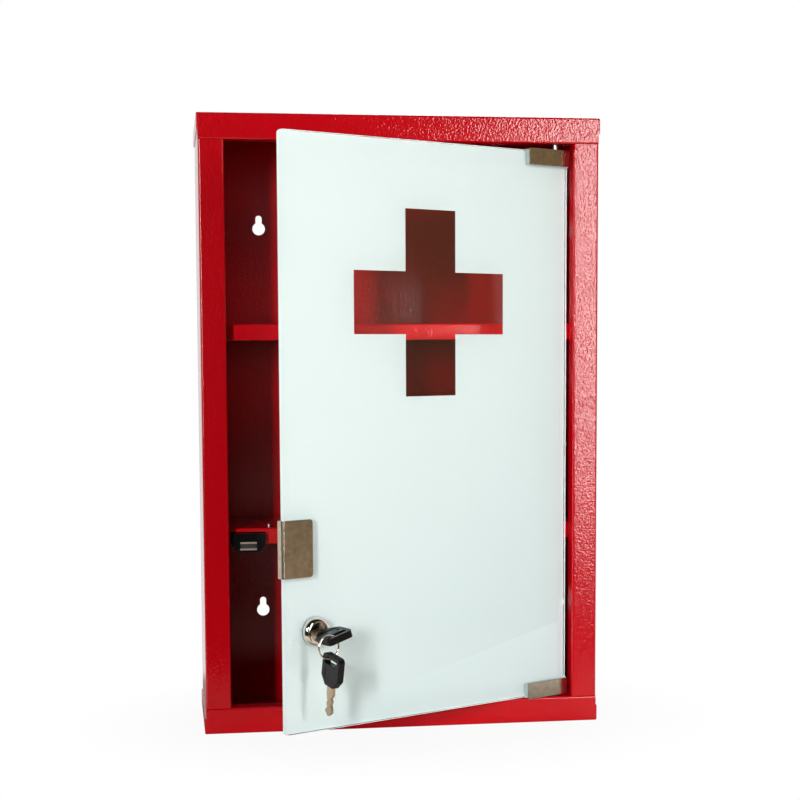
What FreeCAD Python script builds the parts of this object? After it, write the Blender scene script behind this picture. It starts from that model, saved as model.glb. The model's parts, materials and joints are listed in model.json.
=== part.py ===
import FreeCAD, Part
import math
import os

# Wall-hung medicine cabinet: a folded steel box with two shelves and a glass door on pivot clips,
# a magnetic catch, and a cam lock with one key in it and a spare key hanging on a ring.
# Millimetres. X runs right, Y runs back to the wall, Z runs up. The origin is the middle of the four
# keyholes, on the back face. The door stands ajar and the key is a little turned.

# Steel box
cabinet_width = 300.0
cabinet_height = 460.0
cabinet_depth = 112.0
sheet = 1.0
fold_radius = 0.6
stile_width = 19.0
rail_width = 19.5
lip_depth = 14.0
cap_skirt = 12.0
rear_flange = 12.0
edge_round = 0.9
compartments = 3
shelf_flange = 12.0
shelf_gap = 1.0

# Keyholes for four wall screws
keyhole_inset_x = 50.0
keyhole_inset_z = 76.0
keyhole_entry_radius = 5.0
keyhole_slot_width = 5.0
keyhole_rise = 8.0

# Glass door and its print
glass_thickness = 4.0
glass_corner_radius = 3.0
glass_arris = 0.4
hinge_clearance = 1.0
free_clearance = 2.6
lift_room = 3.2
pivot_play = 0.3
pivot_inset = 10.5
open_angle = 27.3
print_thickness = 0.1
print_margin = 0.45
cross_size = 133.0
cross_bar = 44.5
cross_drop = 114.2

# Hinge clips, their pins, bushes and liners
clip_sheet = 1.2
liner = 0.5
liner_fold_radius = 0.3
edge_clearance = 0.5
hinge_clip_length = 38.0
hinge_clip_reach = 10.5
hinge_tab_width = 14.0
hinge_liner_show = 2.5
liner_rim = 0.6
pin_radius = 2.0
pin_end_gap = 0.5
bush_wall = 1.0
bush_length = 6.0
bush_flange = 0.8
bush_flange_step = 0.8
bush_edge = 0.4
hinge_screw_inset = 10.0

# Pull clip on the door's free edge, which the magnet holds
pull_height = 40.0
pull_length = 22.5
pull_rise = 10.9
pull_corner_radius = 2.5
pull_screw_spacing = 9.0
pull_screw_inset = 12.0
pull_screw_drop = 5.3

# Clamp screws of all three clips
clamp_shank_radius = 2.0
clamp_head_radius = 3.5
clamp_head_height = 2.0
screw_slot_width = 1.0
screw_slot_depth = 0.9

# Magnetic catch
catch_lip_gap = 1.15
catch_width = 25.3
catch_height = 14.0
catch_drop = 3.3
catch_chamfer = 5.0
catch_depth = 27.0
catch_gap = 0.3
pole_width = 12.4
pole_thickness = 1.4
pole_pitch = 4.85
pole_depth = 14.0
pole_proud = 0.5
magnet_setback = 1.5
pole_floor = 1.4
ear_depth = 14.0
ear_lap = 1.7
ear_margin = 1.1
catch_screw_setback = 14.0
catch_head_clearance = 0.85
catch_screw_radius = 1.75
catch_screw_head_radius = 3.2
catch_screw_head_height = 2.0
catch_screw_end = 1.4
catch_screw_tip = 1.8
notch_clearance = 0.5

# Cam lock
lock_inset = 24.5
lock_height = 70.7
rosette_rim = 4.0
rosette_height = 5.5
rosette_round = 3.6
rosette_round_share = 0.95
barrel_wall = 2.4
barrel_clearance = 0.5
thread_spare = 1.0
gasket = 0.5
washer = 0.8
washer_rim = 4.0
nut_height = 4.0
nut_wall = 3.0
nut_sides = 6
plug_wall = 0.3
collar_step = 1.0
collar_height = 0.9
collar_gap = 0.1
plug_recess = 0.3
latch_play = 2.0
cam_clearance = 0.3
cam_thickness = 2.0
cam_wall = 3.0
cam_overlap = 6.7
cam_tail_wall = 4.5
cam_end_share = 0.9
cam_tail_share = 0.5
drive_share = 0.9
cam_screw_radius = 2.0
cam_screw_length = 3.6
cam_screw_head_lap = 0.9
cam_screw_head_height = 2.2
keyway_end_wall = 1.2
wafer_thickness = 1.0
wafer_pitch = 2.2
wafer_first = 1.6
wafer_end_wall = 0.45
wafer_side_wall = 1.25
key_turn = 15.5

# Keys and ring
blade_width = 7.6
blade_thickness = 2.0
blade_tip = 3.0
tang_length = 7.0
tang_width = 5.0
cut_depth_shares = (0.10, 0.22, 0.14, 0.26)
cut_length = 1.0
key_clearance = 0.3
key_tip_gap = 0.5
key_stand_off = 6.0
bow_width = 20.0
bow_length = 22.0
bow_wall = 1.5
bow_shoulder = 6.0
bow_neck_wall = 1.0
bow_corner_radius = 3.0
bow_bridge = 3.0
bow_slot_height = 4.0
bow_panel_depth = 0.4
bow_panel_side = 4.0
bow_panel_start = 4.5
bow_panel_margin = 2.5
ring_radius = 7.9
ring_wire_radius = 0.75
ring_clearance = 0.3
spare_tilt = 10.0

# Fits: running fit of a shaft in its hole, close fit of a fixed piece, and the overrun of every cut
running_fit = 0.05
close_fit = 0.05
overrun = 2.0

# Half, for sizes given across, turns in degrees, and how nearly an edge lies along a direction
half = 0.5
full_turn = 360.0
quarter_turn = 90.0
parallel_share = 0.999

V = FreeCAD.Vector
UP = V(0, 0, 1)
RIGHT = V(1, 0, 0)
OUT = V(0, -1, 0)

# Hinge sizes that follow: the clip wraps the liner, the bush the pin, and the door stands on the bush
clip_fold_radius = liner + liner_fold_radius
wrap = edge_clearance + liner + clip_sheet
hinge_gap = wrap + hinge_clearance
free_gap = wrap + free_clearance
bush_radius = pin_radius + bush_wall
bush_flange_radius = bush_radius + bush_flange_step
pivot_setback = sheet + fold_radius + bush_radius + bush_edge
bottom_gap = liner + clip_sheet + bush_flange + pivot_play
top_gap = bottom_gap + lift_room

# Lock sizes that follow, from the blade outward: keyway, wafers, plug, barrel, rosette, nut and cam
keyway_half = blade_width * half + key_clearance
keyway_rise = blade_thickness * half + key_clearance
wafer_half = keyway_half + wafer_end_wall
wafer_rise = keyway_rise + wafer_side_wall
plug_radius = math.hypot(wafer_half, wafer_rise) + plug_wall
collar_radius = plug_radius + collar_step
rosette_radius = collar_radius + rosette_rim
barrel_radius = plug_radius + barrel_wall
washer_radius = barrel_radius + washer_rim
nut_radius = (barrel_radius + nut_wall) / math.cos(math.pi / nut_sides)
drive_half = plug_radius * math.sqrt(half) * drive_share
cam_half = drive_half + cam_wall
cam_tail = drive_half + cam_tail_wall
cam_reach = lock_inset + free_gap + cam_overlap
cam_screw_head_radius = drive_half + cam_screw_head_lap

# Places that follow from the sizes above, with the door shut
half_width = cabinet_width * half
top = cabinet_height * half
front = -cabinet_depth
opening_half = half_width - stile_width
opening_top = top - rail_width
glass_left = free_gap - opening_half
glass_right = opening_half - hinge_gap
glass_bottom = bottom_gap - opening_top
glass_top = opening_top - top_gap
pivot_x = glass_right - pivot_inset
pivot_y = front + pivot_setback
glass_front = pivot_y - glass_thickness * half
glass_back = glass_front + glass_thickness
print_back = glass_back + print_thickness
clip_front = glass_front - liner - clip_sheet
clip_back = print_back + liner + clip_sheet
glass_sweep = math.hypot(pivot_inset, glass_thickness * half)
shelf_front = max(front + lip_depth, pivot_y + glass_sweep) + shelf_gap
shelf_back = -sheet - sheet - fold_radius
shelf_pitch = cabinet_height / compartments
lower_shelf_top = shelf_pitch - top
upper_shelf_top = lower_shelf_top + shelf_pitch
catch_half = catch_width * half
catch_x = sheet + catch_lip_gap + catch_half - opening_half
catch_top = lower_shelf_top - catch_drop
catch_bottom = catch_top - catch_height
catch_front = clip_back + catch_gap + pole_proud
lock_x = glass_left + lock_inset
lock_z = glass_bottom + lock_height
nut_front = print_back + washer
nut_back = nut_front + nut_height
barrel_end = max(front + lip_depth + latch_play, nut_back + thread_spare)
cam_front = barrel_end + cam_clearance
cam_back = cam_front + cam_thickness
rosette_front = glass_front - rosette_height
plug_front = rosette_front + plug_recess
screw_tip = cam_back - cam_screw_length
keyway_end = screw_tip - keyway_end_wall
bow_start = rosette_front - key_stand_off
blade_length = keyway_end - bow_start - key_tip_gap
ring_y = bow_start - bow_length + bow_bridge + bow_slot_height * half


def box(x0, x1, y0, y1, z0, z1):
    return Part.makeBox(x1 - x0, y1 - y0, z1 - z0, V(x0, y0, z0))


def rod(radius, start, end):
    return Part.makeCylinder(radius, (end - start).Length, start, end - start)


def mirrored(shape):
    return shape.mirror(V(0, 0, 0), RIGHT)


def joined(*shapes):
    return shapes[0].multiFuse(list(shapes[1:])).removeSplitter()


def unit(vector):
    return V(vector).normalize()


def rounded_run(points, radii):
    """Straight edges through the points, with every square corner between them rounded."""
    edges = []
    start = points[0]
    for i in range(1, len(points) - 1):
        back = unit(points[i - 1] - points[i])
        onward = unit(points[i + 1] - points[i])
        enter = points[i] + back * radii[i - 1]
        leave = points[i] + onward * radii[i - 1]
        middle = points[i] + (back + onward) * (radii[i - 1] * (1 - math.sqrt(half)))
        edges.append(Part.LineSegment(start, enter).toShape())
        edges.append(Part.Arc(enter, middle, leave).toShape())
        start = leave
    edges.append(Part.LineSegment(start, points[-1]).toShape())
    return edges


def folded(path, normal, thickness, radius, run):
    """Strip folded square along the path, its thickness to the left of it, as long as run."""
    inner = []
    for i, point in enumerate(path):
        shift = V(0, 0, 0)
        if i > 0:
            shift = shift + unit(normal.cross(path[i] - path[i - 1]))
        if i < len(path) - 1:
            shift = shift + unit(normal.cross(path[i + 1] - path[i]))
        inner.append(point + shift * thickness)
    corners = len(path) - 2
    edges = rounded_run(path, [radius + thickness] * corners)
    edges += rounded_run(inner, [radius] * corners)
    edges.append(Part.LineSegment(path[0], inner[0]).toShape())
    edges.append(Part.LineSegment(path[-1], inner[-1]).toShape())
    outline = Part.Wire(Part.__sortEdges__(edges))
    return Part.Face(outline).extrude(run)


def plate(points, run):
    """Flat plate with a straight-sided outline."""
    return Part.Face(Part.makePolygon(points + [points[0]])).extrude(run)


def along(edge, direction):
    """Whether a straight edge runs along the direction."""
    if not isinstance(edge.Curve, Part.Line):
        return False
    return abs(edge.Curve.Direction.dot(direction)) > parallel_share


def rounded(shape, radius, direction, wanted):
    """Shape with its wanted edges along the direction rounded."""
    edges = [e for e in shape.Edges if along(e, direction) and wanted(e.CenterOfMass)]
    return shape.makeFillet(radius, edges)


def on_door(shape):
    """Shape swung open with the door."""
    swung = shape.copy()
    swung.rotate(V(pivot_x, pivot_y, 0), UP, open_angle)
    return swung


def on_lock(shape):
    """Shape turned with the key, then swung open with the door."""
    turned = shape.copy()
    turned.rotate(V(lock_x, 0, lock_z), OUT, key_turn)
    return on_door(turned)


def write(name, shape):
    shape.exportStep("parts/" + name + ".step")


os.makedirs("parts", exist_ok=True)

# Side walls: each is one folded sheet with a front stile, a lip turned back into the box, and a rear
# flange. The wall runs on past the stile, up and down behind the rails of the caps.
stile_path = [
    V(rear_flange - half_width, -sheet, -opening_top),
    V(-half_width, -sheet, -opening_top),
    V(-half_width, front, -opening_top),
    V(-opening_half, front, -opening_top),
    V(-opening_half, front + lip_depth, -opening_top),
]
stile = folded(stile_path, UP, sheet, fold_radius, UP * (opening_top + opening_top))
wall_bottom = sheet - top
wall_path = [
    V(rear_flange - half_width, -sheet, wall_bottom),
    V(-half_width, -sheet, wall_bottom),
    V(-half_width, front + sheet + fold_radius, wall_bottom),
]
wall = folded(wall_path, UP, sheet, fold_radius, UP * (-wall_bottom - wall_bottom))
left_side = joined(stile, wall)
write("left_side", left_side)
write("right_side", mirrored(left_side))

# Caps: top and bottom of the box. Each is a sheet with a front rail, a lip turned back from the rail,
# and a skirt down each end that overlaps the side wall outside. Past the skirts the rail is cut back
# to lie flush with the sides.
cap_half = half_width + sheet
cap_path = [
    V(-cap_half, 0, top),
    V(-cap_half, front, top),
    V(-cap_half, front, opening_top),
    V(-cap_half, front + lip_depth, opening_top),
]
cap = folded(cap_path, RIGHT, sheet, fold_radius, RIGHT * (cap_half + cap_half))
lip_end = box(-cap_half - overrun, sheet - half_width, front + sheet, front + lip_depth + overrun,
              opening_top - overrun, opening_top + sheet + fold_radius)
cap = cap.cut(lip_end).cut(mirrored(lip_end))
rail_end = box(-cap_half - overrun, -half_width, front - overrun, front + lip_depth + overrun,
               opening_top - overrun, top - cap_skirt)
cap = cap.cut(rail_end).cut(mirrored(rail_end))
skirt = box(-cap_half, -half_width, front + sheet, 0, top - cap_skirt, top - sheet)
cap = joined(cap, skirt, mirrored(skirt))
cap = rounded(cap, edge_round, V(0, 1, 0),
              lambda c: abs(c.x) > half_width + sheet * half and c.z > top - sheet * half)
bush_hole = rod(bush_radius + close_fit, V(pivot_x, pivot_y, opening_top - overrun),
                V(pivot_x, pivot_y, opening_top + sheet + overrun))
cap = cap.cut(bush_hole)
write("top_cap", cap)
write("bottom_cap", cap.mirror(V(0, 0, 0), UP))

# Back panel, welded over the rear flanges, with four keyholes whose slots point up.
back_panel = box(-half_width, half_width, -sheet, 0, wall_bottom, -wall_bottom)
keyhole_x = half_width - keyhole_inset_x
keyhole_z = top - keyhole_inset_z
for x in (-keyhole_x, keyhole_x):
    for z in (-keyhole_z, keyhole_z):
        entry = rod(keyhole_entry_radius, V(x, -sheet - overrun, z), V(x, overrun, z))
        slot_radius = keyhole_slot_width * half
        slot = box(x - slot_radius, x + slot_radius, -sheet - overrun, overrun, z, z + keyhole_rise)
        slot_end = rod(slot_radius, V(x, -sheet - overrun, z + keyhole_rise), V(x, overrun, z + keyhole_rise))
        back_panel = back_panel.cut(entry).cut(slot).cut(slot_end)
write("back_panel", back_panel)

# Shelves: each is a sheet with its front, back and end edges folded down. The lower one is notched
# in front for the catch and drilled for the two screws of the catch.
shelf_half = half_width - sheet


def shelf(shelf_top):
    path = [
        V(-shelf_half, shelf_back, shelf_top - shelf_flange),
        V(-shelf_half, shelf_back, shelf_top),
        V(-shelf_half, shelf_front, shelf_top),
        V(-shelf_half, shelf_front, shelf_top - shelf_flange),
    ]
    tray = folded(path, RIGHT, sheet, fold_radius, RIGHT * (shelf_half + shelf_half))
    end = box(-shelf_half, sheet - shelf_half, shelf_front + sheet, shelf_back - sheet,
              shelf_top - shelf_flange, shelf_top - sheet)
    return joined(tray, end, mirrored(end))


write("upper_shelf", shelf(upper_shelf_top))
lower_shelf = shelf(lower_shelf_top)
notch_half = catch_half + notch_clearance
notch = box(catch_x - notch_half, catch_x + notch_half, shelf_front - overrun, shelf_front + sheet + overrun,
            lower_shelf_top - shelf_flange - overrun, catch_top + notch_clearance)
lower_shelf = lower_shelf.cut(notch)
catch_screw_y = shelf_front + catch_screw_setback
catch_screw_reach = catch_half + catch_screw_head_radius + catch_head_clearance
catch_screw_places = [catch_x - catch_screw_reach, catch_x + catch_screw_reach]
shelf_underside = lower_shelf_top - sheet
for x in catch_screw_places:
    hole = rod(catch_screw_radius + close_fit, V(x, catch_screw_y, shelf_underside - overrun),
               V(x, catch_screw_y, lower_shelf_top + overrun))
    lower_shelf = lower_shelf.cut(hole)
write("lower_shelf", lower_shelf)

# Magnetic catch: a plastic housing under the lower shelf, hung by an ear at each side, with a magnet
# between two steel pole plates that stand a little proud of its front.
catch_outline = [
    V(catch_x - catch_half, catch_front, catch_top),
    V(catch_x - catch_half, catch_front, catch_bottom + catch_chamfer),
    V(catch_x - catch_half + catch_chamfer, catch_front, catch_bottom),
    V(catch_x + catch_half - catch_chamfer, catch_front, catch_bottom),
    V(catch_x + catch_half, catch_front, catch_bottom + catch_chamfer),
    V(catch_x + catch_half, catch_front, catch_top),
]
catch_body = plate(catch_outline, V(0, catch_depth, 0))
ear_reach = catch_screw_reach + catch_screw_head_radius + ear_margin
ear_bottom = catch_top - ear_lap
ears = box(catch_x - ear_reach, catch_x + ear_reach, catch_screw_y - ear_depth * half,
           catch_screw_y + ear_depth * half, ear_bottom, shelf_underside)
pole_bottom = catch_bottom + pole_floor
pole_top = pole_bottom + pole_pitch + pole_thickness
pole_left = catch_x - pole_width * half
pole_right = catch_x + pole_width * half
pole_front = catch_front - pole_proud
pocket = box(pole_left, pole_right, catch_front - overrun, pole_front + pole_depth, pole_bottom, pole_top)
catch_housing = joined(catch_body, ears).cut(pocket)
catch_screws = []
for x in catch_screw_places:
    under = V(x, catch_screw_y, ear_bottom)
    catch_housing = catch_housing.cut(rod(catch_screw_radius + close_fit, under - UP * overrun,
                                          V(x, catch_screw_y, shelf_underside + overrun)))
    head = rod(catch_screw_head_radius, under - UP * catch_screw_head_height, under)
    shank_end = V(x, catch_screw_y, lower_shelf_top + catch_screw_end)
    shank = rod(catch_screw_radius, under, shank_end)
    tip = Part.makeCone(catch_screw_radius, 0, catch_screw_tip, shank_end, UP)
    drive = box(x - catch_screw_head_radius, x + catch_screw_head_radius,
                catch_screw_y - screw_slot_width * half, catch_screw_y + screw_slot_width * half,
                under.z - catch_screw_head_height, under.z - catch_screw_head_height + screw_slot_depth)
    catch_screws.append(joined(head, shank, tip).cut(drive))
write("catch_housing", catch_housing)
write("catch_screws", Part.makeCompound(catch_screws))
lower_pole = box(pole_left, pole_right, pole_front, pole_front + pole_depth,
                 pole_bottom, pole_bottom + pole_thickness)
upper_pole = lower_pole.copy()
upper_pole.translate(UP * pole_pitch)
write("catch_pole_plates", Part.makeCompound([lower_pole, upper_pole]))
magnet = box(pole_left, pole_right, pole_front + magnet_setback, pole_front + pole_depth,
             pole_bottom + pole_thickness, pole_bottom + pole_pitch)
write("catch_magnet", magnet)

# Door glass: toughened, with rounded corners, arrised edges and one hole for the lock.
pane = box(glass_left, glass_right, glass_front, glass_back, glass_bottom, glass_top)
pane = pane.makeFillet(glass_corner_radius, [e for e in pane.Edges if along(e, OUT)])
rim = [e for e in pane.Edges if e.BoundBox.YLength < glass_arris]
pane = pane.makeChamfer(glass_arris, rim)
lock_front = V(lock_x, glass_front - overrun, lock_z)
lock_hole = rod(barrel_radius + barrel_clearance, lock_front, V(lock_x, print_back + overrun, lock_z))
write("door_glass", on_door(pane.cut(lock_hole)))

# Print: white enamel on the back of the glass, all but the cross, which stays clear.
ink = box(glass_left + print_margin, glass_right - print_margin, glass_back, print_back,
          glass_bottom + print_margin, glass_top - print_margin)
ink = ink.makeFillet(glass_corner_radius - print_margin, [e for e in ink.Edges if along(e, OUT)])
cross_x = (glass_left + glass_right) * half
cross_z = glass_top - cross_drop
long_half = cross_size * half
bar_half = cross_bar * half
cross_run = (glass_back - overrun, print_back + overrun)
upright = box(cross_x - bar_half, cross_x + bar_half, *cross_run, cross_z - long_half, cross_z + long_half)
level = box(cross_x - long_half, cross_x + long_half, *cross_run, cross_z - bar_half, cross_z + bar_half)
write("door_print", on_door(ink.cut(upright).cut(level).cut(lock_hole)))


def wrapped(edge, side, reach, inset, thickness, radius, z0, z1):
    """Strip bent round the glass's upright edge: inset is how far its outside lies in from the clip's."""
    tip = edge + side * (wrap - inset)
    end = edge - side * reach
    path = [
        V(end, clip_front + inset, z0),
        V(tip, clip_front + inset, z0),
        V(tip, clip_back - inset, z0),
        V(end, clip_back - inset, z0),
    ]
    if side < 0:
        path.reverse()
    return folded(path, UP, thickness, radius, UP * (z1 - z0))


def clamp_screw(x, z):
    """Screw through a clip's back plate, bearing on the liner, with a slotted head."""
    base = V(x, clip_back, z)
    shank = rod(clamp_shank_radius, V(x, clip_back - clip_sheet, z), base)
    head = rod(clamp_head_radius, base, base - OUT * clamp_head_height)
    slot = box(x - clamp_head_radius, x + clamp_head_radius,
               clip_back + clamp_head_height - screw_slot_depth, clip_back + clamp_head_height,
               z - screw_slot_width * half, z + screw_slot_width * half)
    return joined(shank, head).cut(slot)


def screw_hole(x, z):
    return rod(clamp_shank_radius + close_fit, V(x, clip_back - clip_sheet - liner * half, z),
               V(x, clip_back + overrun, z))


liner_radius = clip_fold_radius - liner

# Hinges: at the top and the bottom of the glass, a steel clip wraps its upright edge and has a tab
# across the end of the pane. The tab carries the pivot pin, which turns in a bush in the cap's lip.
hinge_screws = []
for name, sign, glass_end in (("upper", 1, glass_top), ("lower", -1, glass_bottom)):
    clip_end = glass_end + sign * (liner + clip_sheet)
    clip_foot = glass_end - sign * hinge_clip_reach
    low = min(clip_end, clip_foot)
    high = max(clip_end, clip_foot)
    clip = wrapped(glass_right, 1, hinge_clip_length, 0, clip_sheet, clip_fold_radius, low, high)
    tab_half = hinge_tab_width * half
    tab_ends = sorted((clip_end, clip_end - sign * clip_sheet))
    clip = joined(clip, box(pivot_x - tab_half, pivot_x + tab_half, clip_front, clip_back, *tab_ends))
    screw_z = (glass_end + clip_foot) * half
    for screw_x in (glass_right - hinge_screw_inset, glass_right - hinge_clip_length + hinge_screw_inset):
        clip = clip.cut(screw_hole(screw_x, screw_z))
        hinge_screws.append(on_door(clamp_screw(screw_x, screw_z)))
    write(name + "_hinge_clip", on_door(clip))

    liner_ends = sorted((glass_end + sign * liner, clip_foot - sign * liner_rim))
    pad = wrapped(glass_right, 1, hinge_clip_length + hinge_liner_show, clip_sheet, liner, liner_radius,
                  *liner_ends)
    tab_pad_ends = sorted((glass_end, glass_end + sign * liner))
    pad = joined(pad, box(pivot_x - tab_half, pivot_x + tab_half, glass_front, print_back, *tab_pad_ends))
    write(name + "_hinge_liner", on_door(pad))

    pin_end = sign * (opening_top + bush_length - pin_end_gap)
    pin = rod(pin_radius, V(pivot_x, pivot_y, clip_end), V(pivot_x, pivot_y, pin_end))
    write(name + "_hinge_pin", on_door(pin))

    lip_face = V(pivot_x, pivot_y, sign * opening_top)
    bush_end = V(pivot_x, pivot_y, sign * (opening_top + bush_length))
    flange_end = V(pivot_x, pivot_y, sign * (opening_top - bush_flange))
    bush = joined(rod(bush_radius, lip_face, bush_end), rod(bush_flange_radius, flange_end, lip_face))
    bore = rod(pin_radius + running_fit, flange_end - UP * (sign * overrun), bush_end + UP * (sign * overrun))
    write(name + "_bush", bush.cut(bore))
write("hinge_clip_screws", Part.makeCompound(hinge_screws))

# Pull clip: bent round the free edge of the glass, a finger pull in front and the magnet's strike behind.
pull_z = (pole_bottom + pole_top) * half + pull_rise
pull_low = pull_z - pull_height * half
pull_high = pull_z + pull_height * half
pull = wrapped(glass_left, -1, pull_length, 0, clip_sheet, clip_fold_radius, pull_low, pull_high)
pull = rounded(pull, pull_corner_radius, OUT, lambda c: c.x > glass_left + pull_length * half)
pull_screws = []
for n in (0, 1):
    screw_x = glass_left + pull_screw_inset
    screw_z = pull_high - pull_screw_drop - n * pull_screw_spacing
    pull = pull.cut(screw_hole(screw_x, screw_z))
    pull_screws.append(on_door(clamp_screw(screw_x, screw_z)))
write("pull_clip", on_door(pull))
write("pull_clip_screws", Part.makeCompound(pull_screws))
pull_pad = wrapped(glass_left, -1, pull_length + liner_rim, clip_sheet, liner, liner_radius,
                   pull_low, pull_high)
write("pull_clip_liner", on_door(pull_pad))


def lock_point(y):
    """Point on the axis of the lock."""
    return V(lock_x, y, lock_z)


# Lock housing: a domed rosette in front of the glass on a barrel through it, bored for the plug.
rosette_back = glass_front - gasket
rosette = rod(rosette_radius, lock_point(rosette_back), lock_point(rosette_front))
dome_edge = [e for e in rosette.Edges if abs(e.CenterOfMass.y - rosette_front) < rosette_height * half
             and isinstance(e.Curve, Part.Circle)]
dome_limit = min(rosette_rim, rosette_back - rosette_front) * rosette_round_share
rosette = rosette.makeFillet(min(rosette_round, dome_limit), dome_edge)
barrel = rod(barrel_radius, lock_point(rosette_back), lock_point(barrel_end))
collar_floor = plug_front + collar_height + collar_gap
bore_start = lock_point(rosette_front - overrun)
bore_end = lock_point(barrel_end + overrun)
plug_bore = rod(plug_radius + running_fit, bore_start, bore_end)
collar_bore = rod(collar_radius + running_fit, bore_start, lock_point(collar_floor))
write("lock_housing", on_door(joined(rosette, barrel).cut(plug_bore).cut(collar_bore)))

# Behind the rosette a plastic gasket, and behind the glass a washer and a hexagon nut.
barrel_hole = rod(barrel_radius + close_fit, bore_start, bore_end)
seal = rod(rosette_radius, lock_point(rosette_back), lock_point(glass_front))
write("lock_gasket", on_door(seal.cut(barrel_hole)))
ring_plate = rod(washer_radius, lock_point(print_back), lock_point(nut_front))
write("lock_washer", on_door(ring_plate.cut(barrel_hole)))
nut_outline = []
for n in range(nut_sides):
    angle = math.radians(full_turn * n / nut_sides)
    corner = V(math.cos(angle), 0, math.sin(angle))
    nut_outline.append(lock_point(nut_front) + corner * nut_radius)
write("lock_nut", on_door(plate(nut_outline, V(0, nut_height, 0)).cut(barrel_hole)))

# Plug: turns in the barrel, with a collar in front, the keyway through it, a slot for each wafer, and
# a square behind for the cam.
plug_end = (barrel_end + cam_front) * half
plug = rod(plug_radius, lock_point(plug_front), lock_point(plug_end))
collar = rod(collar_radius, lock_point(plug_front), lock_point(plug_front + collar_height))
drive_end = cam_back - cam_clearance * half
square = box(lock_x - drive_half, lock_x + drive_half, plug_end, drive_end,
             lock_z - drive_half, lock_z + drive_half)
screw_bore = rod(cam_screw_radius + close_fit, lock_point(screw_tip), lock_point(cam_back + overrun))
keyway = box(lock_x - keyway_half, lock_x + keyway_half, plug_front - overrun, keyway_end,
             lock_z - keyway_rise, lock_z + keyway_rise)
plug = joined(plug, collar, square).cut(screw_bore).cut(keyway)
wafers = []
for n in range(len(cut_depth_shares)):
    y0 = plug_front + wafer_first + n * wafer_pitch
    y1 = y0 + wafer_thickness
    wafer = box(lock_x - wafer_half, lock_x + wafer_half, y0, y1, lock_z - wafer_rise, lock_z + wafer_rise)
    plug = plug.cut(box(lock_x - wafer_half - close_fit, lock_x + wafer_half + close_fit,
                        y0 - close_fit, y1 + close_fit,
                        lock_z - wafer_rise - close_fit, lock_z + wafer_rise + close_fit))
    wafers.append(on_lock(wafer.cut(keyway)))
write("lock_plug", on_lock(plug))
write("lock_wafers", Part.makeCompound(wafers))

# Cam: a flat latch on the square of the plug, upright when unlocked, held by a screw.
cam_arm = box(lock_x - cam_half, lock_x + cam_half, cam_front, cam_back,
              lock_z - cam_tail, lock_z + cam_reach)
cam_arm = rounded(cam_arm, cam_half * cam_end_share, OUT, lambda c: c.z > lock_z)
cam_arm = rounded(cam_arm, cam_half * cam_tail_share, OUT, lambda c: c.z < lock_z)
cam_hole_half = drive_half + close_fit
cam_hole = box(lock_x - cam_hole_half, lock_x + cam_hole_half, cam_front - overrun, cam_back + overrun,
               lock_z - cam_hole_half, lock_z + cam_hole_half)
write("lock_cam", on_lock(cam_arm.cut(cam_hole)))
head_back = cam_back + cam_screw_head_height
cam_screw = joined(rod(cam_screw_radius, lock_point(screw_tip), lock_point(cam_back)),
                   rod(cam_screw_head_radius, lock_point(cam_back), lock_point(head_back)))
cam_screw = cam_screw.cut(box(lock_x - cam_screw_head_radius, lock_x + cam_screw_head_radius,
                              head_back - screw_slot_depth, head_back + overrun,
                              lock_z - screw_slot_width * half, lock_z + screw_slot_width * half))
write("cam_screw", on_lock(cam_screw))

# One key, lying flat with its bow outward from the start of the bow at the origin: a brass blade with
# a cut in both edges for each wafer and a tang, and a moulded bow with a slot for the ring across its
# outer end. The cuts of the second edge come in the other order.
blade_half = blade_width * half
blade_side = blade_thickness * half
bow_half = bow_width * half
neck_half = blade_half + bow_neck_wall
thick_half = blade_side + bow_wall
bow_outline = [
    V(-neck_half, 0, -thick_half),
    V(-bow_half, -bow_shoulder, -thick_half),
    V(-bow_half, -bow_length, -thick_half),
    V(bow_half, -bow_length, -thick_half),
    V(bow_half, -bow_shoulder, -thick_half),
    V(neck_half, 0, -thick_half),
]
key_bow = plate(bow_outline, UP * (thick_half + thick_half))
key_bow = rounded(key_bow, bow_corner_radius, UP, lambda c: c.y < -bow_shoulder * half)
slot_half = bow_half - bow_bridge
slot_outer = bow_bridge - bow_length
key_bow = key_bow.cut(box(-slot_half, slot_half, slot_outer, slot_outer + bow_slot_height,
                          -thick_half - overrun, thick_half + overrun))
panel_half = bow_half - bow_panel_side
panel_end = slot_outer + bow_slot_height + bow_panel_margin
panel_floor = thick_half - bow_panel_depth
for z0, z1 in ((panel_floor, thick_half), (-thick_half, -panel_floor)):
    key_bow = key_bow.cut(box(-panel_half, panel_half, panel_end, -bow_panel_start, z0, z1))
blade_outline = [
    V(-blade_half, 0, -blade_side),
    V(-tang_width * half, 0, -blade_side),
    V(-tang_width * half, -tang_length, -blade_side),
    V(tang_width * half, -tang_length, -blade_side),
    V(tang_width * half, 0, -blade_side),
    V(blade_half, 0, -blade_side),
    V(blade_half, blade_length - blade_tip, -blade_side),
    V(0, blade_length, -blade_side),
    V(-blade_half, blade_length - blade_tip, -blade_side),
]
key_blade = plate(blade_outline, UP * blade_thickness)
first_cut = plug_front + wafer_first + wafer_thickness * half - bow_start
for side, shares in ((1, cut_depth_shares), (-1, cut_depth_shares[::-1])):
    for n, depth_share in enumerate(shares):
        cut_y = first_cut + n * wafer_pitch
        cut_depth = blade_width * depth_share
        cut_floor = side * (blade_half - cut_depth)
        notch_points = [
            V(side * blade_half, cut_y - cut_length * half - cut_depth, -blade_side),
            V(cut_floor, cut_y - cut_length * half, -blade_side),
            V(cut_floor, cut_y + cut_length * half, -blade_side),
            V(side * blade_half, cut_y + cut_length * half + cut_depth, -blade_side),
        ]
        key_blade = key_blade.cut(plate(notch_points, UP * blade_thickness))
key_bow = key_bow.cut(key_blade)

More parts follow.
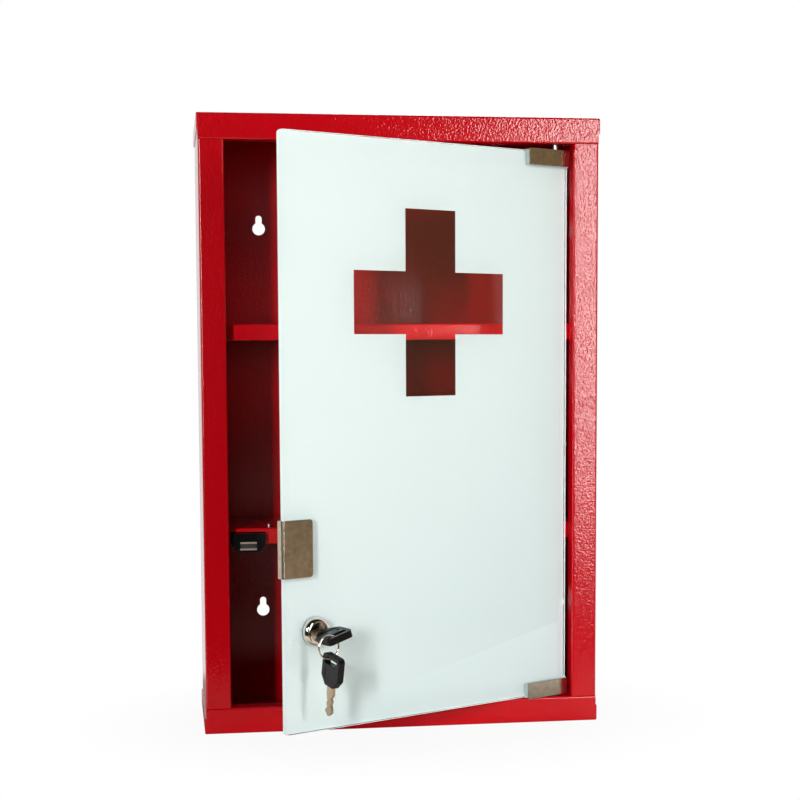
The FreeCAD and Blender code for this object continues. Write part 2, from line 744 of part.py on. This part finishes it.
# Key in the lock
for name, shape in (("key_bow", key_bow), ("key_blade", key_blade)):
    shape = shape.copy()
    shape.translate(V(lock_x, bow_start, lock_z))
    write(name, on_lock(shape))

# Ring: steel wire through the slot of the bow and round the bridge at its left, resting on both upper
# edges of the bridge, which lies as much turned as the key.
bridge_offset = bow_half - bow_bridge * half
tilt = math.radians(key_turn)
bridge_x = lock_x - bridge_offset * math.cos(tilt)
bridge_z = lock_z - bridge_offset * math.sin(tilt)
ring_inside = ring_radius - ring_wire_radius - ring_clearance
ring_drop = math.sqrt(ring_inside ** 2 - (bow_bridge * half) ** 2) - thick_half
ring_centre = V(bridge_x + ring_drop * math.sin(tilt), ring_y, bridge_z - ring_drop * math.cos(tilt))
write("key_ring", on_door(Part.makeTorus(ring_radius, ring_wire_radius, ring_centre, OUT)))

# Spare key: hangs on the bottom of the ring by the bar at the end of its bow, edge on to the door. The
# wire has run to the end of the slot nearest the door, so the key leans, with its tip to the door.
wire_rise = ring_radius - math.sqrt(ring_radius ** 2 - thick_half ** 2)
ring_bottom = ring_centre - UP * ring_radius
slot_height = ring_bottom.z + ring_wire_radius + wire_rise + ring_clearance
slot_run = slot_half - ring_wire_radius - ring_clearance
for name, shape in (("spare_key_bow", key_bow), ("spare_key_blade", key_blade)):
    shape = shape.copy()
    shape.rotate(V(0, 0, 0), RIGHT, -quarter_turn)
    shape.rotate(V(0, 0, 0), UP, quarter_turn)
    shape.translate(V(ring_centre.x, ring_y - slot_run, slot_height + slot_outer))
    shape.rotate(ring_bottom, RIGHT, spare_tilt)
    write(name, on_door(shape))
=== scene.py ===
import json
import math

import bmesh
import bpy
from mathutils import Matrix, Vector


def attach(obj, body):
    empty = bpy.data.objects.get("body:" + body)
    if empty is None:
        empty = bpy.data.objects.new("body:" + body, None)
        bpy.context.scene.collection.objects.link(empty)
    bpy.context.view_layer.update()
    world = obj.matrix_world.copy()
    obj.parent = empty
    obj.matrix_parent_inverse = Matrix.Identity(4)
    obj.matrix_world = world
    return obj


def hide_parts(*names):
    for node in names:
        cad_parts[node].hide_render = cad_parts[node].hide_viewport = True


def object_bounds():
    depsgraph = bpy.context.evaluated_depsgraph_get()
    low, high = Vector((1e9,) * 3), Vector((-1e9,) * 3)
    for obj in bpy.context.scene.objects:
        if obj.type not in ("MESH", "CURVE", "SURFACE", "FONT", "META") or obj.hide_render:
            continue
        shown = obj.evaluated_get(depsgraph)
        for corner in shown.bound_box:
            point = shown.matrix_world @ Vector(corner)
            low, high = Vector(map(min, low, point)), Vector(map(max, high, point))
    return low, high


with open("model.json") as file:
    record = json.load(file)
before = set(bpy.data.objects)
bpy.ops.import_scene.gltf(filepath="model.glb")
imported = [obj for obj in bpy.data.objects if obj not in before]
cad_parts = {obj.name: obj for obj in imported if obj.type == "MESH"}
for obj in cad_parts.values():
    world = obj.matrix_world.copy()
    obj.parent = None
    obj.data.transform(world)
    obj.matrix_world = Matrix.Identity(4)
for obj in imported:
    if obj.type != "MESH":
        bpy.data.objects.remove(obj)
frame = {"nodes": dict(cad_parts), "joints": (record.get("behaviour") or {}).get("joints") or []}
cad_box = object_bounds()

# Steel box: two caps, two sides, a back panel and two shelves, folded from thin sheet, spot welded
# and sprayed together with a red powder coat that cures to a fine pebbled texture. Deep inside the
# box its colour is darkened: a painted shade for the shade that falls in there.


def feed(tree, node, inputs):
    """Each input of the node takes a value or the output of another node."""
    for name, value in inputs.items():
        if isinstance(value, bpy.types.NodeSocket):
            tree.links.new(value, node.inputs[name])
        else:
            node.inputs[name].default_value = value


def shade(tree, kind, inputs, **settings):
    """New shader node with its settings and inputs."""
    made = tree.nodes.new("ShaderNode" + kind)
    for name, value in settings.items():
        setattr(made, name, value)
    feed(tree, made, inputs)
    return made


def start_finish(name):
    """New material: itself, its node tree, its shader and the coordinates of the part."""
    material = bpy.data.materials.new(name)
    material.use_nodes = True
    tree = material.node_tree
    place = tree.nodes.new("ShaderNodeTexCoord").outputs["Object"]
    return material, tree, tree.nodes["Principled BSDF"], place


def noise(tree, place, per_metre, detail):
    """Soft random pattern between nought and one, with about so many grains to a metre."""
    made = shade(tree, "TexNoise", {"Vector": place, "Scale": per_metre, "Detail": detail})
    return made.outputs["Fac"]


def raised(tree, pattern, strength, height):
    """Normal of a surface on which the pattern stands out by the height."""
    made = shade(tree, "Bump", {"Height": pattern, "Strength": strength, "Distance": height})
    return made.outputs["Normal"]


def two_tone(tree, fac, low, high):
    """Colour that goes from low to high with fac."""
    low_socket = 6
    high_socket = 7
    colour_socket = 2
    mix = shade(tree, "Mix", {"Factor": fac}, data_type="RGBA")
    for socket, colour in ((low_socket, low), (high_socket, high)):
        if isinstance(colour, bpy.types.NodeSocket):
            tree.links.new(colour, mix.inputs[socket])
        else:
            mix.inputs[socket].default_value = (*colour, 1)
    return mix.outputs[colour_socket]


def spread(tree, fac, low, high):
    """Number that goes from low to high with fac."""
    made = shade(tree, "MapRange", {"Value": fac, "To Min": low, "To Max": high})
    return made.outputs["Result"]


def ramp(tree, value, start, end):
    """Number that goes from nought to one as the value goes from start to end."""
    made = shade(tree, "MapRange", {"Value": value, "From Min": start, "From Max": end})
    return made.outputs["Result"]


def reckon(tree, operation, first, second=0.0):
    """Number worked out from one or two others."""
    return shade(tree, "Math", {0: first, 1: second}, operation=operation).outputs[0]


def copied(name):
    """Mesh of a CAD node, welded into whole faces."""
    weld = 1e-6
    flat = math.radians(1)
    shape = bmesh.new()
    shape.from_mesh(frame["nodes"][name].data)
    bmesh.ops.remove_doubles(shape, verts=shape.verts, dist=weld)
    bmesh.ops.dissolve_limit(shape, angle_limit=flat, verts=shape.verts, edges=shape.edges)
    return shape


def placed(shape, name, body, slot, *finishes):
    """Piece made of the shape, smooth over its rounds, that rides on the body."""
    crease = math.radians(30)
    mesh = bpy.data.meshes.new(name)
    shape.to_mesh(mesh)
    shape.free()
    if mesh.has_custom_normals:
        mesh.attributes.remove(mesh.attributes["custom_normal"])
    mesh.materials.clear()
    for finish in finishes:
        mesh.materials.append(finish)
    mesh.shade_smooth()
    mesh.set_sharp_from_angle(angle=crease)
    piece = bpy.data.objects.new(name, mesh)
    bpy.context.scene.collection.objects.link(piece)
    flats = piece.modifiers.new("flats", "WEIGHTED_NORMAL")
    flats.keep_sharp = True
    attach(piece, body)
    return piece


def eased(name, body, slot, finish, radius):
    """Copy of a CAD node with its sharp edges rounded, which stands for the node."""
    sharp = math.radians(30)
    shape = copied(name)
    edges = [e for e in shape.edges if e.is_manifold and e.calc_face_angle() > sharp]
    bmesh.ops.bevel(shape, geom=edges, offset=radius, offset_type="OFFSET", affect="EDGES", segments=2,
                    profile=0.5, clamp_overlap=True, material=-1)
    piece = placed(shape, name + "_eased", body, slot, finish)
    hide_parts(name)


def inside_shade_share(tree, place):
    """Share of painted shade: one deep inside the box, and nought about its mouth and on its outer faces.
    """
    sheet = 0.001
    half_width = 0.15
    half_height = 0.23
    back = 0.0
    mouth = -0.09
    deep = -0.06
    across, along, up = shade(tree, "SeparateXYZ", {"Vector": place}).outputs
    sideways = reckon(tree, "ABSOLUTE", across)
    upright = reckon(tree, "ABSOLUTE", up)
    share = ramp(tree, along, mouth, deep)
    for value, outer in ((along, back), (sideways, half_width), (upright, half_height)):
        share = reckon(tree, "MULTIPLY", share, ramp(tree, value, outer, outer - sheet))
    return share


def red_powder_coat():
    pebbles_per_metre = 720
    clouds_per_metre = 14
    pebble_height = 0.00019
    inside_shade_tone = 0.65
    material, tree, shader, place = start_finish("red_powder_coat")
    pebble = noise(tree, place, pebbles_per_metre, detail=0.8)
    cloud = noise(tree, place, clouds_per_metre, detail=3.0)
    # the hollows between the pebbles are a little darker than their crests: partly the coat's own grain,
    # partly painted shade in the hollows
    valley = two_tone(tree, cloud, (0.65, 0.0003, 0.006), (0.72, 0.0005, 0.008))
    crest = two_tone(tree, cloud, (0.74, 0.0004, 0.007), (0.82, 0.0006, 0.009))
    colour = two_tone(tree, pebble, valley, crest)
    # painted shade: the coat's colour is darkened deep inside the box, where shade falls
    shade_factor = spread(tree, inside_shade_share(tree, place), 1.0, inside_shade_tone)
    shaded_colour = shade(tree, "VectorMath", {0: colour, "Scale": shade_factor}, operation="SCALE")
    feed(tree, shader, {
        "Base Color": shaded_colour.outputs["Vector"],
        "Roughness": spread(tree, pebble, 0.35, 0.5),
        "Normal": raised(tree, pebble, strength=0.5, height=pebble_height),
        "Specular IOR Level": 0.0,
        "Coat Weight": 1.0,
        "Coat Roughness": 0.14,
        "Coat IOR": 1.6,
        "Coat Normal": raised(tree, pebble, strength=1.0, height=pebble_height),
    })
    return material


red = red_powder_coat()
coat_edge = 0.0003
sheets = ("top_cap", "bottom_cap", "left_side", "right_side", "back_panel", "upper_shelf", "lower_shelf")
for name in sheets:
    eased(name, "cabinet", "red_coat", red, coat_edge)

# Bushes: turned black nylon sleeves pressed into the rails, one above and one below the door, in
# which the pivot pins run dry. The nylon is a little waxy.


def give(material, *names):
    """CAD nodes take the material."""
    for name in names:
        slots = frame["nodes"][name].data.materials
        slots.clear()
        slots.append(material)


def black_nylon():
    mottles_per_metre = 900
    material, tree, shader, place = start_finish("black_nylon")
    mottle = noise(tree, place, mottles_per_metre, detail=2.0)
    feed(tree, shader, {
        "Base Color": two_tone(tree, mottle, (0.008, 0.008, 0.008), (0.02, 0.02, 0.02)),
        "Roughness": spread(tree, mottle, 0.35, 0.5),
    })
    return material


give(black_nylon(), "upper_bush", "lower_bush")

# Magnetic catch: a moulded black housing screwed up to the lower shelf through an ear at each side,
# with a dark sintered magnet between two plated steel pole plates that stand out of its face.


def black_plastic():
    sparks_per_metre = 2600
    flows_per_metre = 70
    spark_height = 0.00002
    material, tree, shader, place = start_finish("black_plastic")
    spark = noise(tree, place, sparks_per_metre, detail=2.0)
    flow = noise(tree, place, flows_per_metre, detail=2.0)
    feed(tree, shader, {
        "Base Color": two_tone(tree, flow, (0.004, 0.004, 0.0045), (0.010, 0.010, 0.011)),
        "Roughness": spread(tree, flow, 0.12, 0.22),
        "Normal": raised(tree, spark, strength=0.6, height=spark_height),
        "Specular IOR Level": 0.2,
    })
    return material


def metal(name, low, high, smooth, rough, brush):
    """Metal with fine marks; brush is how many marks there are to a metre along X, Y and Z."""
    stains_per_metre = 60
    mark_height = 0.00002
    material, tree, shader, place = start_finish(name)
    brushed = shade(tree, "Mapping", {"Vector": place, "Scale": brush}).outputs["Vector"]
    mark = noise(tree, brushed, 1.0, detail=3.0)
    stain = noise(tree, place, stains_per_metre, detail=3.0)
    feed(tree, shader, {
        "Base Color": two_tone(tree, stain, low, high),
        "Roughness": spread(tree, mark, smooth, rough),
        "Normal": raised(tree, mark, strength=0.3, height=mark_height),
        "Metallic": 1.0,
    })
    return material


black = black_plastic()
catch_edge = 0.0006
eased("catch_housing", "cabinet", "black_plastic", black, catch_edge)
sintered = metal("sintered_magnet", low=(0.05, 0.05, 0.055), high=(0.09, 0.09, 0.09),
                 smooth=0.5, rough=0.7, brush=(3000, 3000, 3000))
give(sintered, "catch_magnet")
plate_edge = 0.00015
poles = metal("plated_poles", low=(0.66, 0.55, 0.42), high=(0.76, 0.66, 0.52),
              smooth=0.25, rough=0.4, brush=(300, 300, 4000))
eased("catch_pole_plates", "cabinet", "pole_steel", poles, plate_edge)
zinc = metal("zinc_plate", low=(0.52, 0.52, 0.50), high=(0.66, 0.65, 0.62),
             smooth=0.22, rough=0.42, brush=(900, 900, 900))
give(zinc, "catch_screws")

# Door: a pane of toughened float glass with rounded corners, ground along its edges. The back is
# screened with white enamel, fired a hair into the glass, all but a cross, which is left clear.
lock_joint = next(joint for joint in frame["joints"] if joint["name"] == "lock_turn")
outward = Vector(lock_joint["axis"]).normalized()


def blend(tree, share, under, over):
    """The material's surface goes from one shader to the other with the share."""
    mix = shade(tree, "MixShader", {0: share, 1: under, 2: over})
    tree.links.new(mix.outputs["Shader"], tree.nodes["Material Output"].inputs["Surface"])


def clear_glass():
    """Glass that bends what is seen through it and lets the light of the lamps in."""
    films_per_metre = 9
    tint = (0.93, 0.985, 0.975, 1)
    material, tree, shader, place = start_finish("clear_glass")
    film = noise(tree, place, films_per_metre, detail=4.0)
    feed(tree, shader, {
        "Base Color": tint,
        "Roughness": spread(tree, film, 0.0, 0.03),
        "Transmission Weight": 1.0,
        "IOR": 1.5,
    })
    clear = shade(tree, "BsdfTransparent", {"Color": tint})
    shadow_ray = tree.nodes.new("ShaderNodeLightPath").outputs["Is Shadow Ray"]
    blend(tree, shadow_ray, shader.outputs["BSDF"], clear.outputs["BSDF"])
    return material


def ground_edge():
    """Glass ground white along its edges."""
    scratches_per_metre = 3000
    scratch_depth = 0.00003
    material, tree, shader, place = start_finish("ground_edge")
    scratch = noise(tree, place, scratches_per_metre, detail=2.0)
    feed(tree, shader, {
        "Base Color": two_tone(tree, scratch, (0.86, 0.97, 0.95), (0.95, 1.0, 0.99)),
        "Roughness": spread(tree, scratch, 0.1, 0.25),
        "Normal": raised(tree, scratch, strength=0.3, height=scratch_depth),
        "Transmission Weight": 0.7,
    })
    return material


def white_enamel():
    specks_per_metre = 2200
    clouds_per_metre = 5
    speck_height = 0.00002
    material, tree, shader, place = start_finish("white_enamel")
    speck = noise(tree, place, specks_per_metre, detail=2.0)
    cloud = noise(tree, place, clouds_per_metre, detail=3.0)
    feed(tree, shader, {
        "Base Color": two_tone(tree, cloud, (0.705, 0.75, 0.75), (0.73, 0.775, 0.775)),
        "Roughness": spread(tree, speck, 0.38, 0.5),
        "Normal": raised(tree, speck, strength=0.15, height=speck_height),
    })
    return material


pane_shape = copied("door_glass")
face_on = 0.999
for face in pane_shape.faces:
    face.normal_update()
    face.material_index = 0 if abs(face.normal.dot(outward)) > face_on else 1
pane = placed(pane_shape, "door_glass_clean", "door", "glass", clear_glass(), ground_edge())
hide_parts("door_glass")

fired_depth = 0.00004
print_shape = copied("door_print")
glass_back = max(vert.co.dot(outward) for vert in print_shape.verts)
fired = [vert for vert in print_shape.verts if vert.co.dot(outward) > glass_back - fired_depth]
bmesh.ops.translate(print_shape, verts=fired, vec=outward * fired_depth)
enamel = placed(print_shape, "door_print_clean", "door", "white_print", white_enamel())
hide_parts("door_print")

# Hinge clips: bent steel with a satin finish, one at each right-hand corner of the glass, each on a
# clear soft liner and clamped from behind by two slotted screws, with a turned pivot pin.
door_turn = math.atan2(outward.x, -outward.y)


def satin_steel():
    """Steel with short strokes that run along the door."""
    strokes_per_metre = 3600
    stroke_share = 0.2
    stroke_height = 0.00003
    hazes_per_metre = 260
    strokes = (strokes_per_metre * stroke_share, strokes_per_metre, strokes_per_metre)
    material, tree, shader, place = start_finish("satin_steel")
    turned = shade(tree, "Mapping", {"Vector": place, "Rotation": (0, 0, -door_turn)}).outputs["Vector"]
    brushed = shade(tree, "Mapping", {"Vector": turned, "Scale": strokes}).outputs["Vector"]
    stroke = noise(tree, brushed, 1.0, detail=2.0)
    haze = noise(tree, place, hazes_per_metre, detail=4.0)
    feed(tree, shader, {
        "Base Color": two_tone(tree, haze, (0.32, 0.27, 0.20), (0.66, 0.57, 0.45)),
        "Roughness": spread(tree, stroke, 0.16, 0.30),
        "Normal": raised(tree, stroke, strength=0.4, height=stroke_height),
        "Metallic": 1.0,
    })
    return material


def soft_liner():
    mottles_per_metre = 420
    material, tree, shader, place = start_finish("soft_liner")
    mottle = noise(tree, place, mottles_per_metre, detail=2.0)
    feed(tree, shader, {
        "Base Color": two_tone(tree, mottle, (0.62, 0.82, 0.83), (0.80, 0.93, 0.94)),
        "Roughness": spread(tree, mottle, 0.15, 0.3),
        "Transmission Weight": 0.3,
        "IOR": 1.45,
    })
    return material


satin = satin_steel()
liner = soft_liner()
clip_edge = 0.00025
liner_edge = 0.0001
for end in ("upper", "lower"):
    eased(end + "_hinge_clip", "door", "clip_steel", satin, clip_edge)
    eased(end + "_hinge_liner", "door", "clear_liner", liner, liner_edge)
    give(zinc, end + "_hinge_pin")
screw_edge = 0.0002
eased("hinge_clip_screws", "door", "zinc_steel", zinc, screw_edge)

# Pull clip: the same satin steel bent round the free edge of the glass, a finger pull in front and
# the strike of the magnet behind, on its own liner and clamped by two slotted screws.
eased("pull_clip", "door", "clip_steel", satin, clip_edge)
eased("pull_clip_liner", "door", "clear_liner", liner, liner_edge)
eased("pull_clip_screws", "door", "zinc_steel", zinc, screw_edge)

# Cam lock: a die-cast housing, chromed, with a domed rosette in front of the glass and a threaded
# barrel through it, held by a washer and a nut. The plug with its brass wafers turns a steel cam.


def chrome():
    scuffs_per_metre = 1400
    hazes_per_metre = 120
    material, tree, shader, place = start_finish("chrome")
    scuff = noise(tree, place, scuffs_per_metre, detail=3.0)
    haze = noise(tree, place, hazes_per_metre, detail=2.0)
    feed(tree, shader, {
        "Base Color": two_tone(tree, haze, (0.74, 0.71, 0.66), (0.86, 0.83, 0.79)),
        "Roughness": spread(tree, scuff, 0.04, 0.14),
        "Metallic": 1.0,
    })
    return material


chromed = chrome()
housing_edge = 0.00015
eased("lock_housing", "door", "chrome", chromed, housing_edge)
eased("lock_plug", "lock_rotor", "chrome", chromed, housing_edge)
give(black, "lock_gasket")
nut_edge = 0.0004
eased("lock_washer", "door", "zinc_steel", zinc, screw_edge)
eased("lock_nut", "door", "zinc_steel", zinc, nut_edge)
eased("lock_cam", "lock_rotor", "zinc_steel", zinc, nut_edge)
eased("cam_screw", "lock_rotor", "zinc_steel", zinc, screw_edge)
brass = metal("key_brass", low=(0.50, 0.38, 0.26), high=(0.66, 0.52, 0.37),
              smooth=0.28, rough=0.45, brush=(500, 500, 3500))
give(brass, "lock_wafers")

thread_pitch = 0.001
thread_turns = 3
thread_steps = 40
thread_root = 0.00785
thread_crest = 0.0082
thread_start = 0.0094
thread_weld = 1e-7
lock_point = Vector(lock_joint["pos_m"])
radial = Vector((0, 0, 1))
thread = bmesh.new()
ridge = []
for reach, shift in ((thread_root, 0), (thread_crest, thread_pitch / 2), (thread_root, thread_pitch)):
    ridge.append(thread.verts.new(lock_point + radial * reach - outward * (thread_start + shift)))
ridge_edges = [thread.edges.new((ridge[i - 1], ridge[i])) for i in range(len(ridge))]
bmesh.ops.spin(thread, geom=ridge + ridge_edges, cent=lock_point, axis=outward,
               dvec=-outward * (thread_pitch / thread_steps), angle=math.tau * thread_turns,
               steps=thread_steps * thread_turns, use_merge=False)
bmesh.ops.remove_doubles(thread, verts=thread.verts, dist=thread_weld)
thread_ends = [e for e in thread.edges if e.is_boundary]
bmesh.ops.holes_fill(thread, edges=thread_ends, sides=len(ridge))
bmesh.ops.recalc_face_normals(thread, faces=thread.faces)
placed(thread, "lock_thread", "door", "chrome", chromed)

# Keys: milled nickel-brass blades, each moulded into a black plastic bow with a sunk panel and a
# slot. One is in the lock, and a spare hangs from it on a ring of sprung steel wire.
bow_edge = 0.0009
blade_edge = 0.00015
for name in ("key", "spare_key"):
    eased(name + "_bow", name, "black_plastic", black, bow_edge)
    eased(name + "_blade", name, "brass", brass, blade_edge)
give(chromed, "key_ring")

# Floor: a pale studio sheet that runs out to white and takes a faint shadow of the cabinet. In gloss
# and glass it shows white too, but for the patch round the cabinet, which shows as the lamps light it.
floor_side = 3.0
floor_front = 0.28
floor_back = 5.5
floor_half = (floor_front + floor_back) / 2
floor_middle = (floor_back - floor_front) / 2
floor_shape = bmesh.new()
bmesh.ops.create_grid(floor_shape, x_segments=1, y_segments=1, size=1)
bmesh.ops.scale(floor_shape, verts=floor_shape.verts, vec=(floor_side, floor_half, 1))
bmesh.ops.translate(floor_shape, verts=floor_shape.verts, vec=(0, floor_middle, cad_box[0].z))
floor_mesh = bpy.data.meshes.new("floor")
floor_shape.to_mesh(floor_mesh)
floor_shape.free()
floor = bpy.data.objects.new("floor", floor_mesh)
bpy.context.scene.collection.objects.link(floor)


def seen_directly(tree):
    """One where a ray comes straight from the eye or by way of gloss or glass, and nought elsewhere;
    then the same for the eye alone."""
    path = tree.nodes.new("ShaderNodeLightPath").outputs
    camera_ray = path["Is Camera Ray"]
    shiny_ray = reckon(tree, "MAXIMUM", path["Is Glossy Ray"], path["Is Transmission Ray"])
    return reckon(tree, "MAXIMUM", shiny_ray, camera_ray), camera_ray


def pale_floor():
    glow_share = 0.94
    shadow_centre = (0, -0.07, cad_box[0].z)
    shadow_half = (0.26, 0.2, 1)
    shadow_fade = 0.55
    mirror_fade = 1.2
    material, tree, shader, place = start_finish("pale_floor")
    feed(tree, shader, {
        "Base Color": (0.72, 0.68, 0.63, 1),
        "Roughness": 0.8,
        "Specular IOR Level": 0.0,
    })
    glow = shade(tree, "Emission", {"Color": (1, 1, 1, 1), "Strength": 1.0})
    centred = shade(tree, "VectorMath", {0: place, 1: shadow_centre}, operation="SUBTRACT")
    shares = shade(tree, "VectorMath", {0: centred.outputs["Vector"], 1: shadow_half}, operation="DIVIDE")
    away = shade(tree, "VectorMath", {0: shares.outputs["Vector"]}, operation="LENGTH").outputs["Value"]
    lit = spread(tree, ramp(tree, away, shadow_fade, 1.0), glow_share, 1.0)
    beyond = ramp(tree, away, 1.0, mirror_fade)
    seen, camera_ray = seen_directly(tree)
    shown = reckon(tree, "MAXIMUM", reckon(tree, "MULTIPLY", seen, beyond), camera_ray)
    amount = reckon(tree, "MULTIPLY", lit, shown)
    blend(tree, amount, shader.outputs["BSDF"], glow.outputs["Emission"])
    return material


floor_mesh.materials.append(pale_floor())

# Surround: white to the eye and behind the cabinet. In front, gloss and glass see a dark room with a
# brown wall at the right and a beige ground, and matt faces get a little light, most from behind.
white = (1, 1, 1)
beige = (0.86, 0.68, 0.5)
brown_above = (0.33, 0.25, 0.14)
brown_below = (0.2, 0.16, 0.11)
dark_front = (0.012, 0.011, 0.01)
dark_ceiling = (0.02, 0.018, 0.017)
front_light = 0.02
back_light = 0.3
world = bpy.data.worlds.new("white_surround")
world.use_nodes = True
bpy.context.scene.world = world
surround = world.node_tree
direction = surround.nodes.new("ShaderNodeTexCoord").outputs["Generated"]
across, along, up = shade(surround, "SeparateXYZ", {"Vector": direction}).outputs
brown = two_tone(surround, ramp(surround, up, 0.08, -0.08), brown_above, brown_below)
side_wall = two_tone(surround, ramp(surround, up, -0.165, -0.2), brown, beige)
front_wall = two_tone(surround, ramp(surround, up, -0.38, -0.46), dark_front, beige)
walls = two_tone(surround, ramp(surround, across, 0.55, 0.75), front_wall, side_wall)
room = two_tone(surround, ramp(surround, up, 0.12, 0.3), walls, dark_ceiling)
around = two_tone(surround, ramp(surround, along, -0.2, 0.1), room, white)
shone = spread(surround, ramp(surround, along, -0.05, 0.5), front_light, back_light)
seen, camera_ray = seen_directly(surround)
ambient = two_tone(surround, seen, shone, around)
sky = two_tone(surround, camera_ray, ambient, white)
surround.links.new(sky, surround.nodes["Background"].inputs["Color"])

# Lamps: soft boxes, two narrow ones in front at the right and further off at the left, and a square
# one behind and above, at a level where colours come out about as they are written.


def soft_lamp(name, place, target, width, height, power):
    lamp = bpy.data.lights.new(name, "AREA")
    lamp.shape = "RECTANGLE"
    lamp.size = width
    lamp.size_y = height
    lamp.energy = power
    holder = bpy.data.objects.new(name, lamp)
    holder.location = place
    holder.rotation_euler = (Vector(target) - Vector(place)).to_track_quat("-Z", "Y").to_euler()
    bpy.context.scene.collection.objects.link(holder)


door_middle = (0, -0.15, 0)
soft_lamp("key_lamp", (0.51, -1.32, 0.17), door_middle, width=0.15, height=0.76, power=5.2)
soft_lamp("left_lamp", (-0.94, -2.21, 0.39), door_middle, width=0.12, height=0.7, power=25.5)
soft_lamp("back_lamp", (0.5, 1.5, 0.9), (0, 0, 0), width=0.8, height=0.8, power=15.0)

# Camera: where the photograph was taken from, a little left of the middle and looking slightly down.
# Its place, turn and focal length come from a fit to the edges of the box and the door.
image_size = 800
camera_place = (-0.17596, -1.32478, 0.05734)
camera_yaw = math.radians(8.14)
camera_pitch = math.radians(5.02)
camera_roll = math.radians(-0.27)
focal_pixels = 1632.2
centre_row = 492.8
ahead = Vector((math.sin(camera_yaw) * math.cos(camera_pitch),
                math.cos(camera_yaw) * math.cos(camera_pitch),
                -math.sin(camera_pitch)))
level = Vector((math.cos(camera_yaw), -math.sin(camera_yaw), 0))
rise = level.cross(ahead)
right = level * math.cos(camera_roll) + rise * math.sin(camera_roll)
upward = right.cross(ahead)
view = bpy.data.cameras.new("camera")
view.lens = view.sensor_width * focal_pixels / image_size
view.shift_y = (centre_row - image_size / 2) / image_size
camera = bpy.data.objects.new("camera", view)
camera.rotation_euler = Matrix((right, upward, -ahead)).transposed().to_euler()
camera.location = camera_place
bpy.context.scene.collection.objects.link(camera)
bpy.context.scene.camera = camera
bpy.context.scene.view_settings.view_transform = "Standard"
